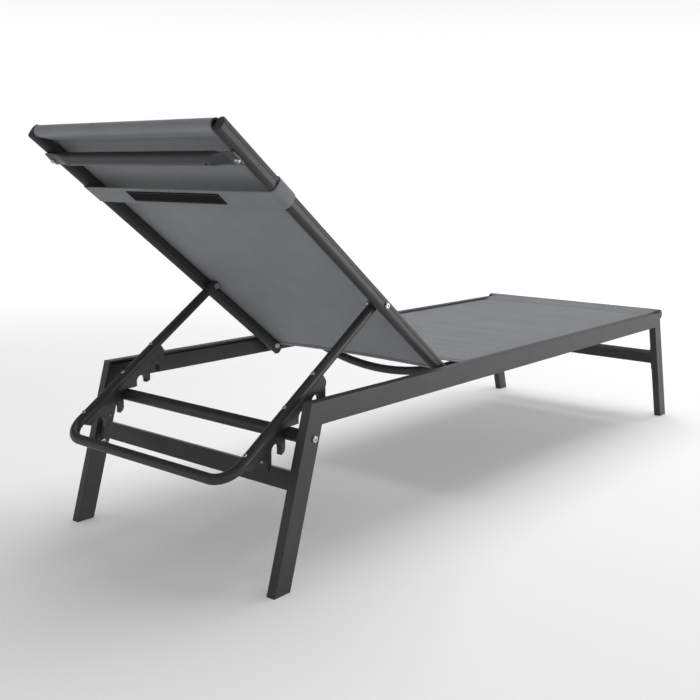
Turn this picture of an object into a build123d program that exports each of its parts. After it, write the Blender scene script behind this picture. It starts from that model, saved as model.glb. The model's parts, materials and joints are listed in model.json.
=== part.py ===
from build123d import *
import os
from math import asin, atan2, cos, degrees, hypot, radians, sin, sqrt

os.makedirs("parts", exist_ok=True)

# Driving dimensions, in millimetres and degrees.
# X runs from the head end to the foot end, Y to the left, Z up.
FIT = 0.05                      # gap between a fixed pin and its hole, and round a sewn-in tube
WALL = 2.0                      # wall of the aluminium tubes

RAIL_LENGTH = 1580.0            # side rail, along its top
RAIL_TOP = 333.0                # height of the rails above the ground
RAIL_DEPTH = 43.0
OUTER = 296.65                  # half the width over the side rails
INNER = 276.85                  # half the width between the side rails
HEAD_LEAN = 95.35               # how far a head leg's foot stands out beyond its top
FOOT_LEAN = 104.95              # the same for a foot leg
LEG_RUN = 41.65                 # width of a leg, measured level
GLIDE = 3.0                     # plastic under each leg
GLIDE_PLUG = 25.0               # how far a glide's plug reaches up the leg
CORNER = 1.5                    # outside corner radius of the rails and legs
SEAT_GROOVE = 3.0               # slot in the rails that the seat cloth comes out of

CATCH = (7.9, 267.0)            # centre of the bar the prop hooks over (x, z)
CATCH_RADIUS = 12.5
CATCH_BOLT = (4.0, 46.0, 6.6, 3.8)    # shank radius and length, head radius and height
CROSSBAR_HEIGHT = 191.0         # middle of the two straight crossbars
CROSSBAR_DEPTH = 34.0
CROSSBAR_THICK = 20.0
CROSSBAR_PLATE = (74.0, 30.0, 3.0)   # end plate: height, width, thickness
CROSSBAR_BOLT = (3.0, 14.0)     # shank radius and length
CROSSBAR_BOLTS = 27.0           # from the crossbar's middle to each bolt, along the leg
BOW_X = 595.0                   # the bowed crossbar under the seat
BOW_RADIUS = 10.0
BOW_LOW = 266.8                 # its middle line under the seat's middle
BOW_RISE = 47.2                 # up to where it meets the side rails
BOW_CENTRE_RADIUS = 575.0       # of the long middle bend
FOOT_TUBE = (1586.0, 327.0)     # centre of the tube the seat cloth wraps (x, z)
FOOT_TUBE_RADIUS = 13.5

CLOTH = 1.0                     # thickness of the sling cloth
SEAT_LEVEL = 327.0
SEAT_START = 530.0
SEAT_SPLIT = 1515.0             # where the seat cloth parts to go round the foot tube
SEAT_ROD_END = 1500.0           # foot end of the rods in the cloth's edges
SEAT_SPLINE = (282.6, 3.0)      # sideways position and radius of such a rod
HEM = 25.0                      # double cloth at a sling's free end

HINGE = (477.8, 310.0)          # axis of the backrest (x, z)
HINGE_BOLT = 5.0                # shank radius
BACK_ANGLE = 37.2               # above level
BACK_TOP = 814.0                # end of the back rails, measured from the hinge
BACK_STUB = 18.0                # rail below the hinge
BACK_Y = 253.85                 # middle of a back rail
BACK_DEPTH = 30.0
BACK_WIDTH = 20.0
BACK_LEVEL = 11.2               # back cloth, in front of the middle of the rails
BACK_START = -8.0
BACK_SPLIT = 775.0
BACK_ROD_END = 765.0
BACK_SPLINE = (250.7, 2.1)
BACK_GROOVE = 2.4
TOP_TUBE = (812.0, 2.0)         # centre of the tube the back cloth wraps (along, in front)
TOP_TUBE_RADIUS = 10.0
SPREADER = (754.0, -17.55)
SPREADER_RADIUS = 12.5
SPREADER_ROUND = 200.0          # half the length that stays round
SPREADER_FLAT = (17.0, 2.5)     # half width and half thickness of the pressed ends
SPREADER_SCREW = 3.0            # shank radius

PIVOT = (277.5, 0.3)            # the prop's pivot on the back rails (along, in front)
PIVOT_BOLT = 4.0                # shank radius
PROP_ANGLE = 34.0               # below level, leaning to the head end
PROP_Y = 232.35
PROP_LENGTH = 483.0             # from the pivot to the middle of the cross run
PROP_BEND = 45.0
PROP_RADIUS = 10.0
COMB_WIDTH = 12.0
COMB_DEPTH = 52.5               # fingertips, below the middle of the prop tube
NOTCH_PITCH = 35.65             # level distance from notch to notch
NOTCH_WIDTH = 26.0
COMB_SCREWS = (213.5, 304.5, 424.65)
COMB_SCREW = 2.0                # shank radius
COMB_SEAT = 9.2                 # flat under each screw's head, above the middle of the tube
PROP_RATIO = 1.914              # degrees the prop folds for each degree the back is lowered
LOWERED = 34.0                  # degrees from the raised to the lowest position

STRAP_MIDDLE = 640.5
STRAP_WIDTH = 47.0
STRAP_GAP = 0.4
STRAP_THICK = 1.6
STRAP_SEWN = 180.0              # sideways position of the seam between strap and pillow
PATCH = (30.0, -134.0, 123.0, 1.5)   # width, both ends sideways, thickness
PILLOW = (150.0, 400.0, 46.0)   # along the back, across, thick
PILLOW_ROUND = 20.0
PILLOW_UP = 19.0                # its middle above the strap's


# Plain shapes, each drawn between two values of Y.
def slab(points, y_low, y_high):
    outline = Polyline(*[(x, y_low, z) for x, z in points], close=True)
    return extrude(make_face(outline), amount=y_high - y_low, dir=(0, 1, 0))


def rod_y(radius, y_low, y_high, x, z):
    middle = Pos(x, (y_low + y_high) / 2, z)
    return middle * Rot(90, 0, 0) * Cylinder(radius, y_high - y_low)


def rod_x(radius, x_low, x_high, y, z):
    middle = Pos((x_low + x_high) / 2, y, z)
    return middle * Rot(0, 90, 0) * Cylinder(radius, x_high - x_low)


def rod_z(radius, z_low, z_high, x, y):
    return Pos(x, y, (z_low + z_high) / 2) * Cylinder(radius, z_high - z_low)


def block(x_low, x_high, y_low, y_high, z_low, z_high):
    middle = Pos((x_low + x_high) / 2, (y_low + y_high) / 2, (z_low + z_high) / 2)
    return middle * Box(x_high - x_low, y_high - y_low, z_high - z_low)


def strip(start, end, thick, y_low, y_high):
    lean = atan2(end[1] - start[1], end[0] - start[0])
    side = (-sin(lean) * thick / 2, cos(lean) * thick / 2)
    corners = [(start[0] + side[0], start[1] + side[1]), (end[0] + side[0], end[1] + side[1]),
               (end[0] - side[0], end[1] - side[1]), (start[0] - side[0], start[1] - side[1])]
    return slab(corners, y_low, y_high)


# A button-head bolt: the head stands out along `axis` from `at`, the shank runs the other way.
def bolt(at, axis, shank_radius, shank_length, head_radius, head_height):
    head = Pos(0, 0, head_height / 2) * Cylinder(head_radius, head_height)
    head = fillet(head.edges().sort_by(Axis.Z)[-1], head_height * 0.7)
    socket = Pos(0, 0, head_height * 0.4) * RegularPolygon(head_radius * 0.36, 6)
    head = head - extrude(socket, amount=head_height)
    shank = Pos(0, 0, 0.5 - shank_length / 2) * Cylinder(shank_radius, shank_length + 1)
    return Plane(origin=at, z_dir=axis).location * (head + shank)


# The end of a sling: the cloth parts at `start`, goes round a tube and is sewn to itself.
def pocket(start, centre, tube_radius, half_width):
    middle = tube_radius + FIT + CLOTH / 2
    run = (centre[0] - start[0], centre[1] - start[1])
    turn = asin(middle / hypot(run[0], run[1]))
    loop = rod_y(tube_radius + FIT + CLOTH, -half_width, half_width, centre[0], centre[1])
    for side in (1, -1):
        lean = atan2(run[1], run[0]) + side * turn
        touch = (centre[0] - side * middle * sin(lean), centre[1] + side * middle * cos(lean))
        loop = loop + strip(start, touch, CLOTH, -half_width, half_width)
    loop = loop + rod_y(CLOTH / 2, -half_width, half_width, start[0], start[1])
    return loop - rod_y(tube_radius + FIT, -half_width - 1, half_width + 1, centre[0], centre[1])


def mirrored(shape):
    return mirror(shape, about=Plane.XZ)


def pair(shape):
    return Compound(children=[shape, mirrored(shape)])


nodes = {}

# Base: side rails. Extruded profiles, mitred to the legs, with a channel for the seat cloth.
rail_under = RAIL_TOP - RAIL_DEPTH
head_slope = HEAD_LEAN / RAIL_TOP
foot_slope = FOOT_LEAN / RAIL_TOP


def head_edge(z):
    return -HEAD_LEAN + head_slope * z


def foot_edge(z):
    return RAIL_LENGTH + FOOT_LEAN - foot_slope * z


head_mitre = (head_edge(rail_under) + LEG_RUN, rail_under)
foot_mitre = (foot_edge(rail_under) - LEG_RUN, rail_under)
rail = slab([(0, RAIL_TOP), head_mitre, foot_mitre, (RAIL_LENGTH, RAIL_TOP)], INNER, OUTER)
rail = fillet(rail.edges().filter_by(Axis.X), CORNER)
rail = rail - rod_y(HINGE_BOLT + FIT, INNER - 5, INNER + 11, HINGE[0], HINGE[1])
rail = rail - block(-20, 1600, INNER + WALL, OUTER - WALL, rail_under + WALL, SEAT_LEVEL - 7)
rail = rail - rod_x(SEAT_SPLINE[1] + 0.5, -20, 1600, SEAT_SPLINE[0], SEAT_LEVEL)
rail = rail - block(-20, 1600, INNER - 1, SEAT_SPLINE[0],
                    SEAT_LEVEL - SEAT_GROOVE / 2, SEAT_LEVEL + SEAT_GROOVE / 2)
foot_scoop = rod_y(FOOT_TUBE_RADIUS + FIT, INNER - 5, OUTER + 5, FOOT_TUBE[0], FOOT_TUBE[1])
rail = rail - foot_scoop
nodes["side_rail_left"] = rail
nodes["side_rail_right"] = mirrored(rail)


# Base: legs. Flat tubes open at the bottom, closed by plastic glides.
def leg(edge, direction, top):
    def inside(z, depth):
        return (edge(z) + direction * depth, z)

    mitre = inside(rail_under, LEG_RUN)
    outline = [top, mitre, inside(GLIDE, LEG_RUN), inside(GLIDE, 0)]
    tube = slab(outline, INNER, OUTER)
    long_edges = tube.edges().filter_by(lambda e: abs((e % 0.5).Z) > 0.9)
    tube = fillet(long_edges, CORNER)
    wall = WALL * 1.05
    hollow = [inside(rail_under - 6, wall), inside(rail_under - 6, LEG_RUN - wall),
              inside(0, LEG_RUN - wall), inside(0, wall)]
    tube = tube - slab(hollow, INNER + WALL, OUTER - WALL)
    plate = slab([inside(0, 0), inside(0, LEG_RUN), inside(GLIDE, LEG_RUN), inside(GLIDE, 0)],
                 INNER, OUTER)
    plate = fillet(plate.edges().filter_by(lambda e: abs((e % 0.5).Z) > 0.9), CORNER)
    gap = wall + FIT
    plug = slab([inside(GLIDE - 1, gap), inside(GLIDE - 1, LEG_RUN - gap),
                 inside(GLIDE_PLUG, LEG_RUN - gap), inside(GLIDE_PLUG, gap)],
                INNER + WALL + FIT, OUTER - WALL - FIT)
    return tube, plate + plug


head_leg, head_glide = leg(head_edge, 1, (0, RAIL_TOP))
foot_leg, foot_glide = leg(foot_edge, -1, (RAIL_LENGTH, RAIL_TOP))
foot_leg = foot_leg - foot_scoop


# Base: straight crossbars. Flat tubes with a plate welded to each end and bolted to the legs.
def crossbar(edge, slope, direction):
    middle = (edge(CROSSBAR_HEIGHT) + direction * LEG_RUN / 2, CROSSBAR_HEIGHT)
    size = sqrt(1 + slope * slope)
    along = (direction * slope / size, 1 / size)

    def at(up):
        return (middle[0] + up * along[0], middle[1] + up * along[1])

    half = CROSSBAR_DEPTH / 2
    height, width, thick = CROSSBAR_PLATE
    shank, length = CROSSBAR_BOLT
    bar = strip(at(-half), at(half), CROSSBAR_THICK, 2 - INNER, INNER - 2)
    plate = strip(at(-height / 2), at(height / 2), width, INNER - thick, INNER)
    plate = fillet(plate.edges().filter_by(Axis.Y), 5)
    bar = bar + plate + mirrored(plate)
    bar = bar - strip(at(WALL - half), at(half - WALL), CROSSBAR_THICK - 2 * WALL, -INNER - 1, INNER + 1)
    bolts = []
    holes = []
    for up in (-CROSSBAR_BOLTS, CROSSBAR_BOLTS):
        x, z = at(up)
        bar = bar - rod_y(shank + FIT, -INNER - 1, INNER + 1, x, z)
        bolts.append(bolt((x, INNER - thick, z), (0, -1, 0), shank, length, 2 * shank, 4))
        bolts.append(bolt((x, thick - INNER, z), (0, 1, 0), shank, length, 2 * shank, 4))
        holes.append(rod_y(shank + FIT, INNER - 1, INNER + 5, x, z))
    return bar, Compound(children=bolts), holes


nodes["head_crossbar"], nodes["head_crossbar_bolts"], head_holes = crossbar(head_edge, head_slope, 1)
nodes["foot_crossbar"], nodes["foot_crossbar_bolts"], foot_holes = crossbar(foot_edge, foot_slope, -1)
for hole in head_holes:
    head_leg = head_leg - hole
for hole in foot_holes:
    foot_leg = foot_leg - hole
head_leg = head_leg - rod_y(CATCH_BOLT[0] + FIT, INNER - 5, OUTER + 5, CATCH[0], CATCH[1])
nodes["head_leg_left"] = head_leg
nodes["head_leg_right"] = mirrored(head_leg)
nodes["foot_leg_left"] = foot_leg
nodes["foot_leg_right"] = mirrored(foot_leg)
nodes["head_glide_left"] = head_glide
nodes["head_glide_right"] = mirrored(head_glide)
nodes["foot_glide_left"] = foot_glide
nodes["foot_glide_right"] = mirrored(foot_glide)

# Base: catch bar between the head legs, held by a bolt from outside each leg.
catch_bar = rod_y(CATCH_RADIUS, -INNER, INNER, CATCH[0], CATCH[1])
catch_bar = catch_bar - rod_y(CATCH_RADIUS - WALL, 35 - INNER, INNER - 35, CATCH[0], CATCH[1])
catch_bar = catch_bar - rod_y(CATCH_BOLT[0] + FIT, -INNER - 1, INNER + 1, CATCH[0], CATCH[1])
nodes["catch_bar"] = catch_bar
nodes["catch_bar_bolts"] = pair(bolt((CATCH[0], OUTER, CATCH[1]), (0, 1, 0), *CATCH_BOLT))

# Base: bowed crossbar under the seat, a bent round tube welded between the side rails.
bow_turn = 2 * degrees(atan2(BOW_RISE, INNER))
bow_end_radius = INNER / sin(radians(bow_turn)) - BOW_CENTRE_RADIUS
bow_top = BOW_LOW + BOW_RISE
bow_middle = CenterArc((0, BOW_LOW + BOW_CENTRE_RADIUS), BOW_CENTRE_RADIUS, 270 - bow_turn, 2 * bow_turn)
bow_left = CenterArc((INNER, bow_top - bow_end_radius), bow_end_radius, 90 + bow_turn, -bow_turn)
bow_right = CenterArc((-INNER, bow_top - bow_end_radius), bow_end_radius, 90, -bow_turn)
bow_path = Plane.YZ.offset(BOW_X) * Wire([bow_right.edge(), bow_middle.edge(), bow_left.edge()])
bow_start = Plane(origin=bow_path @ 0, z_dir=bow_path % 0)
bow = sweep(bow_start * (Circle(BOW_RADIUS) - Circle(BOW_RADIUS - WALL)), path=bow_path)
nodes["curved_crossbar"] = bow

# Base: foot tube with a plastic cap in each end.
foot_tube = rod_y(FOOT_TUBE_RADIUS, 2 - OUTER, OUTER - 2, FOOT_TUBE[0], FOOT_TUBE[1])
foot_tube = foot_tube - rod_y(FOOT_TUBE_RADIUS - WALL, -OUTER, OUTER, FOOT_TUBE[0], FOOT_TUBE[1])
nodes["foot_tube"] = foot_tube
foot_cap = rod_y(FOOT_TUBE_RADIUS, OUTER - 2, OUTER, FOOT_TUBE[0], FOOT_TUBE[1])
foot_cap = fillet(foot_cap.edges().sort_by(Axis.Y)[-1], 1.2)
foot_cap = foot_cap + rod_y(FOOT_TUBE_RADIUS - WALL - FIT, OUTER - 14, OUTER - 1, *FOOT_TUBE)
nodes["foot_tube_caps"] = pair(foot_cap)

# Base: seat cloth, its side edges held in the rails by plastic rods, its end sewn round the tube.
seat_edge = SEAT_SPLINE[0] - SEAT_SPLINE[1] - FIT
seat = block(SEAT_START, SEAT_ROD_END, -seat_edge, seat_edge,
             SEAT_LEVEL - CLOTH / 2, SEAT_LEVEL + CLOTH / 2)
seat = seat + block(SEAT_START, SEAT_START + HEM, -seat_edge, seat_edge,
                    SEAT_LEVEL - CLOTH, SEAT_LEVEL + CLOTH)
seat = seat + strip((SEAT_ROD_END - 1, SEAT_LEVEL), (SEAT_SPLIT, SEAT_LEVEL), CLOTH,
                    0.5 - INNER, INNER - 0.5)
seat = seat + pocket((SEAT_SPLIT, SEAT_LEVEL), FOOT_TUBE, FOOT_TUBE_RADIUS, INNER - 0.5)
nodes["seat_sling"] = seat
nodes["seat_edge_rods"] = pair(rod_x(SEAT_SPLINE[1], SEAT_START, SEAT_ROD_END,
                                     SEAT_SPLINE[0], SEAT_LEVEL))

# Base: hinge bolts and the spacer tubes that centre the backrest between the side rails.
back_outer = BACK_Y + BACK_WIDTH / 2
back_inner = BACK_Y - BACK_WIDTH / 2
hinge_bolt_head = back_inner - 0.35
hinge_bolt = bolt((HINGE[0], hinge_bolt_head, HINGE[1]), (0, -1, 0),
                  HINGE_BOLT, OUTER - 9 - hinge_bolt_head, 7.5, 3.8)
nodes["hinge_bolt_left"] = hinge_bolt
nodes["hinge_bolt_right"] = mirrored(hinge_bolt)
spacer = rod_y(8, back_outer + 0.2, INNER, HINGE[0], HINGE[1])
nodes["hinge_spacers"] = pair(spacer - rod_y(HINGE_BOLT + FIT, back_outer, INNER + 1, *HINGE))

# Backrest. Built flat: x along the rails from the hinge, z out of the front, y to the right.
lean = radians(BACK_ANGLE)
back_frame = Plane(origin=(HINGE[0], 0, HINGE[1]), x_dir=(-cos(lean), 0, sin(lean)),
                   z_dir=(sin(lean), 0, cos(lean)))


def on_back(shape):
    return back_frame.location * shape


def back_section(depth, width, start, length):
    outline = Pos(BACK_Y, 0) * SlotOverall(depth, width, rotation=90)
    return extrude(Plane.YZ.offset(start) * outline, amount=length)


# Backrest: rails. Flat-oval profiles, grooved outside, with a channel for the back cloth inside.
back_length = BACK_STUB + BACK_TOP
hollow_keep = block(-BACK_STUB - 5, BACK_TOP + 5, BACK_Y - 15, BACK_Y + 15, -20, 5.5)
back_rail = back_section(BACK_DEPTH, BACK_WIDTH, -BACK_STUB, back_length)
back_hollow = back_section(BACK_DEPTH - 2 * WALL, BACK_WIDTH - 2 * WALL,
                           -BACK_STUB - 1, back_length + 2) & hollow_keep
back_rail = back_rail - back_hollow
back_rail = back_rail - rod_x(BACK_SPLINE[1] + 0.2, -50, 900, BACK_SPLINE[0], BACK_LEVEL - 0.1)
back_rail = back_rail - block(-50, 900, back_inner - 5, BACK_SPLINE[0],
                              BACK_LEVEL - BACK_GROOVE / 2, BACK_LEVEL + BACK_GROOVE / 2)
back_rail = back_rail - block(-50, 900, back_outer - 1, back_outer + 1, -4, 4)
back_rail = back_rail - rod_y(HINGE_BOLT + FIT, back_inner - 5, back_outer + 5, 0, 0)
back_rail = back_rail - rod_y(PIVOT_BOLT + FIT, back_inner - 5, back_outer + 5, *PIVOT)
back_rail = back_rail - rod_z(SPREADER_SCREW + FIT, -20, -6, SPREADER[0] - 3, BACK_Y)
right_rail = on_back(back_rail)
nodes["back_rail_right"] = right_rail
nodes["back_rail_left"] = mirrored(right_rail)

# Backrest: moulded plugs in both ends of both rails.
caps = []
for end, direction in ((BACK_TOP, 1), (-BACK_STUB, -1)):
    low = min(end, end + 3 * direction)
    cap = back_section(BACK_DEPTH, BACK_WIDTH, low, 3)
    rim = cap.edges().sort_by(Axis.X)
    rim = rim[-4:] if direction > 0 else rim[:4]
    cap = fillet(rim, 2)
    plug_low = min(end + direction, end - 10 * direction)
    plug = back_section(BACK_DEPTH - 2 * WALL - 0.2, BACK_WIDTH - 2 * WALL - 0.2, plug_low, 11)
    cap = on_back(cap + (plug & block(-60, 900, 200, 300, -20, 5.4)))
    caps.append(cap)
    caps.append(mirrored(cap))
nodes["back_rail_caps"] = Compound(children=caps)

# Backrest: tube across the top, inside the cloth.
top_tube = rod_y(TOP_TUBE_RADIUS, -back_inner, back_inner, TOP_TUBE[0], TOP_TUBE[1])
top_tube = top_tube - rod_y(TOP_TUBE_RADIUS - WALL, -back_inner - 1, back_inner + 1, *TOP_TUBE)
nodes["top_tube"] = on_back(top_tube)

# Backrest: spreader bar behind the rails, a round tube pressed flat where it is screwed on.
bar_s, bar_z = SPREADER
spreader = rod_y(SPREADER_RADIUS, -SPREADER_ROUND, SPREADER_ROUND, bar_s, bar_z)
for side in (1, -1):
    round_end = Plane(origin=(bar_s, side * SPREADER_ROUND, bar_z), x_dir=(1, 0, 0), z_dir=(0, side, 0))
    flat_end = Plane(origin=(bar_s, side * 238, bar_z), x_dir=(1, 0, 0), z_dir=(0, side, 0))
    pressed = flat_end * Ellipse(*SPREADER_FLAT)
    spreader = spreader + loft([round_end * Circle(SPREADER_RADIUS), pressed])
    spreader = spreader + extrude(pressed, amount=21)
    spreader = spreader - rod_z(SPREADER_SCREW + FIT, -30, 0, bar_s - 3, side * BACK_Y)
    spreader = spreader - rod_z(2.5, -40, bar_z, bar_s, side * (SPREADER_ROUND - 10))
spreader = spreader - rod_y(SPREADER_RADIUS - WALL, 1 - SPREADER_ROUND, SPREADER_ROUND - 1, bar_s, bar_z)
nodes["spreader_bar"] = on_back(spreader)
spreader_screw = bolt((bar_s - 3, BACK_Y, bar_z - SPREADER_FLAT[1]), (0, 0, -1),
                      SPREADER_SCREW, 13, 5.5, 3.2)
nodes["spreader_screws"] = pair(on_back(spreader_screw))

# Backrest: cloth.
back_edge = BACK_SPLINE[0] - BACK_SPLINE[1] - FIT
pocket_half = back_inner - 0.5
back_cloth = block(BACK_START, BACK_ROD_END, -back_edge, back_edge,
                   BACK_LEVEL - CLOTH / 2, BACK_LEVEL + CLOTH / 2)
back_cloth = back_cloth + block(BACK_START, BACK_START + HEM, -back_edge, back_edge,
                                BACK_LEVEL - CLOTH, BACK_LEVEL + CLOTH)
back_cloth = back_cloth + strip((BACK_ROD_END - 1, BACK_LEVEL), (BACK_SPLIT, BACK_LEVEL), CLOTH,
                                -pocket_half, pocket_half)
back_cloth = back_cloth + pocket((BACK_SPLIT, BACK_LEVEL), TOP_TUBE, TOP_TUBE_RADIUS, pocket_half)
nodes["back_sling"] = on_back(back_cloth)
nodes["back_edge_rods"] = pair(on_back(rod_x(BACK_SPLINE[1], BACK_START, BACK_ROD_END,
                                             BACK_SPLINE[0], BACK_LEVEL - 0.1)))

# Backrest: pivot bolts of the prop, each with a plastic washer between rail and prop.
prop_outer = PROP_Y + PROP_RADIUS
prop_inner = PROP_Y - PROP_RADIUS
pivot_bolt = bolt((PIVOT[0], back_outer, PIVOT[1]), (0, 1, 0),
                  PIVOT_BOLT, back_outer - prop_inner + 3, 6.6, 3.6)
pivot_bolt = pivot_bolt + rod_y(6.5, prop_inner - 4.5, prop_inner - 0.3, *PIVOT)
nodes["prop_pivot_bolts"] = pair(on_back(pivot_bolt))
washer = rod_y(8, prop_outer + 0.1, back_inner, *PIVOT)
washer = washer - rod_y(PIVOT_BOLT + FIT, prop_outer - 1, back_inner + 1, *PIVOT)
nodes["prop_washers"] = pair(on_back(washer))

# Prop. Built flat: x along the legs from the pivot, z down out of the underside, y to the left.
pivot_point = on_back(Pos(PIVOT[0], 0, PIVOT[1])).position
drop = radians(PROP_ANGLE)
prop_frame = Plane(origin=pivot_point, x_dir=(-cos(drop), 0, -sin(drop)),
                   z_dir=(sin(drop), 0, -cos(drop)))


def on_prop(shape):
    return prop_frame.location * shape


def prop_run(start, radius):
    path = FilletPolyline((start, PROP_Y, 0), (PROP_LENGTH, PROP_Y, 0), (PROP_LENGTH, -PROP_Y, 0),
                          (start, -PROP_Y, 0), radius=PROP_BEND)
    section = Plane(origin=path @ 0, z_dir=path % 0) * Circle(radius)
    return sweep(section, path=path)


# Prop: one U-bent tube, rounded at the pivots.
prop = prop_run(-PROP_RADIUS - 2, PROP_RADIUS) - prop_run(16, PROP_RADIUS - WALL)
end_waste = block(-20, 0, prop_inner - 3, prop_outer + 3, -15, 15)
end_waste = end_waste - rod_y(PROP_RADIUS, prop_inner - 5, prop_outer + 5, 0, 0)
prop = prop - end_waste - mirrored(end_waste)
prop = prop - rod_y(PIVOT_BOLT + FIT, -300, 300, 0, 0)
for s in COMB_SCREWS:
    for side in (1, -1):
        prop = prop - rod_z(COMB_SCREW + FIT, -15, 15, s, side * PROP_Y)
        prop = prop - rod_z(2 * COMB_SCREW + FIT, -15, -COMB_SEAT, s, side * PROP_Y)
nodes["prop_tube"] = on_prop(prop)

# Prop: moulded combs. The fingers stand upright when the prop is in use; `level` is the level
# distance from the pivot and `below` the distance under the middle of the tube.
finger = (sin(drop), cos(drop))


def comb_point(level, below):
    return ((level + finger[0] * below) / finger[1], below)


held_level = pivot_point.X - CATCH[0]
held_below = (pivot_point.Z - CATCH[1] - held_level * sin(drop) / cos(drop)) * cos(drop)
notch_levels = [held_level + step * NOTCH_PITCH for step in (-2, -1, 0, 1, 2)]
half_notch = NOTCH_WIDTH / 2
first_face = notch_levels[0] - half_notch - 12.6
last_face = notch_levels[4] - half_notch
tail = comb_point(notch_levels[4], held_below)[0]
outline = [(198, 4), (196.5, 14), (196.5, 22), (199, 27), comb_point(first_face, 31),
           comb_point(first_face, COMB_DEPTH), comb_point(last_face, COMB_DEPTH),
           (tail, held_below), (tail, 22), (432, 22), (440, 12), (440, 4)]
comb_low = PROP_Y - COMB_WIDTH / 2
comb_high = PROP_Y + COMB_WIDTH / 2
comb = slab(outline, comb_low, comb_high)
for level in notch_levels:
    x, z = comb_point(level, held_below)
    mouth = (x + 40 * finger[0], z + 40 * finger[1])
    comb = comb - strip((x, z), mouth, NOTCH_WIDTH, comb_low - 1, comb_high + 1)
    comb = comb - rod_y(half_notch, comb_low - 1, comb_high + 1, x, z)
finger_faces = [first_face] + [level + half_notch for level in notch_levels[:4]]
for face in finger_faces:
    x, z = comb_point(face, COMB_DEPTH)
    corner = [(x - 1, z + 1), (x - 5 * finger[0] - 0.4, z - 5 * finger[1]), (x + 4, z + 1)]
    comb = comb - slab(corner, comb_low - 1, comb_high + 1)
comb = comb - rod_x(PROP_RADIUS + FIT, 180, 460, PROP_Y, 0)
for s in COMB_SCREWS:
    comb = comb - rod_z(COMB_SCREW + FIT, 0, 20.5, s, PROP_Y)

# Prop: room in the combs for the catch bar on its way from the notch to the lowest position.
catch_path = []
catch_steps = 17
for step in range(catch_steps + 1):
    lowered = LOWERED * step / catch_steps
    angle = radians(BACK_ANGLE - lowered)
    pivot_x = HINGE[0] - PIVOT[0] * cos(angle) + PIVOT[1] * sin(angle)
    pivot_z = HINGE[1] + PIVOT[0] * sin(angle) + PIVOT[1] * cos(angle)
    turn = radians(PROP_ANGLE + lowered - PROP_RATIO * lowered)
    gone = (CATCH[0] - pivot_x, CATCH[1] - pivot_z)
    catch_path.append((-gone[0] * cos(turn) - gone[1] * sin(turn),
                       gone[0] * sin(turn) - gone[1] * cos(turn)))
room = CATCH_RADIUS + 0.6
for here, there in zip(catch_path, catch_path[1:]):
    comb = comb - strip(here, there, 2 * room, comb_low - 1, comb_high + 1)
    comb = comb - rod_y(room, comb_low - 1, comb_high + 1, *there)
comb = on_prop(comb)
nodes["comb_left"] = comb
nodes["comb_right"] = mirrored(comb)
comb_screws = []
for s in COMB_SCREWS:
    comb_screw = bolt((s, PROP_Y, -COMB_SEAT), (0, 0, -1), COMB_SCREW, 29, 2 * COMB_SCREW, 2.8)
    comb_screws.append(on_prop(comb_screw))
    comb_screws.append(mirrored(comb_screws[-1]))
nodes["comb_screws"] = Compound(children=comb_screws)

# Headrest: strap in two halves. Each is sewn to an end of the pillow and goes round a back rail.
strap_low = STRAP_MIDDLE - STRAP_WIDTH / 2
strap_high = STRAP_MIDDLE + STRAP_WIDTH / 2
near = BACK_DEPTH / 2 + STRAP_GAP
far = near + STRAP_THICK
grow = 2 * STRAP_GAP
strap = back_section(2 * far, BACK_WIDTH + grow + 2 * STRAP_THICK, strap_low, STRAP_WIDTH)
strap = strap - back_section(2 * near, BACK_WIDTH + grow, strap_low - 1, STRAP_WIDTH + 2)
strap = strap & block(strap_low, strap_high, BACK_Y, BACK_Y + 50, -50, 50)
strap = strap + block(strap_low, strap_high, STRAP_SEWN, BACK_Y, near, far)
strap = strap + block(strap_low, strap_high, 0.3, BACK_Y, -far, -near)
right_strap = on_back(strap)
nodes["headrest_strap_right"] = right_strap
nodes["headrest_strap_left"] = mirrored(right_strap)

# Headrest: the hook-and-loop patch that joins the halves behind the back.
patch_width, patch_start, patch_end, patch_thick = PATCH
patch = block(STRAP_MIDDLE - patch_width / 2, STRAP_MIDDLE + patch_width / 2,
              patch_start, patch_end, -far - patch_thick, -far)
nodes["closure_patch"] = on_back(fillet(patch.edges().filter_by(Axis.Z), 3))

# Headrest: pillow in front of the cloth.
pillow = Box(*PILLOW)
pillow = fillet(pillow.edges(), PILLOW_ROUND)
pillow_middle = BACK_LEVEL + CLOTH / 2 + 0.5 + PILLOW[2] / 2
nodes["headrest_pillow"] = on_back(Pos(STRAP_MIDDLE + PILLOW_UP, 0, pillow_middle) * pillow)

# Origin: the middle of everything, on the ground.
boxes = [shape.bounding_box() for shape in nodes.values()]
shift = -(min(box.min.X for box in boxes) + max(box.max.X for box in boxes)) / 2
for name, shape in nodes.items():
    export_step(Pos(shift, 0, 0) * shape, f"parts/{name}.step")
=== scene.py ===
import json
from math import asin, atan2, cos, pi, radians, sin, sqrt

import bmesh
import bpy
from mathutils import Matrix, Vector, noise


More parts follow.
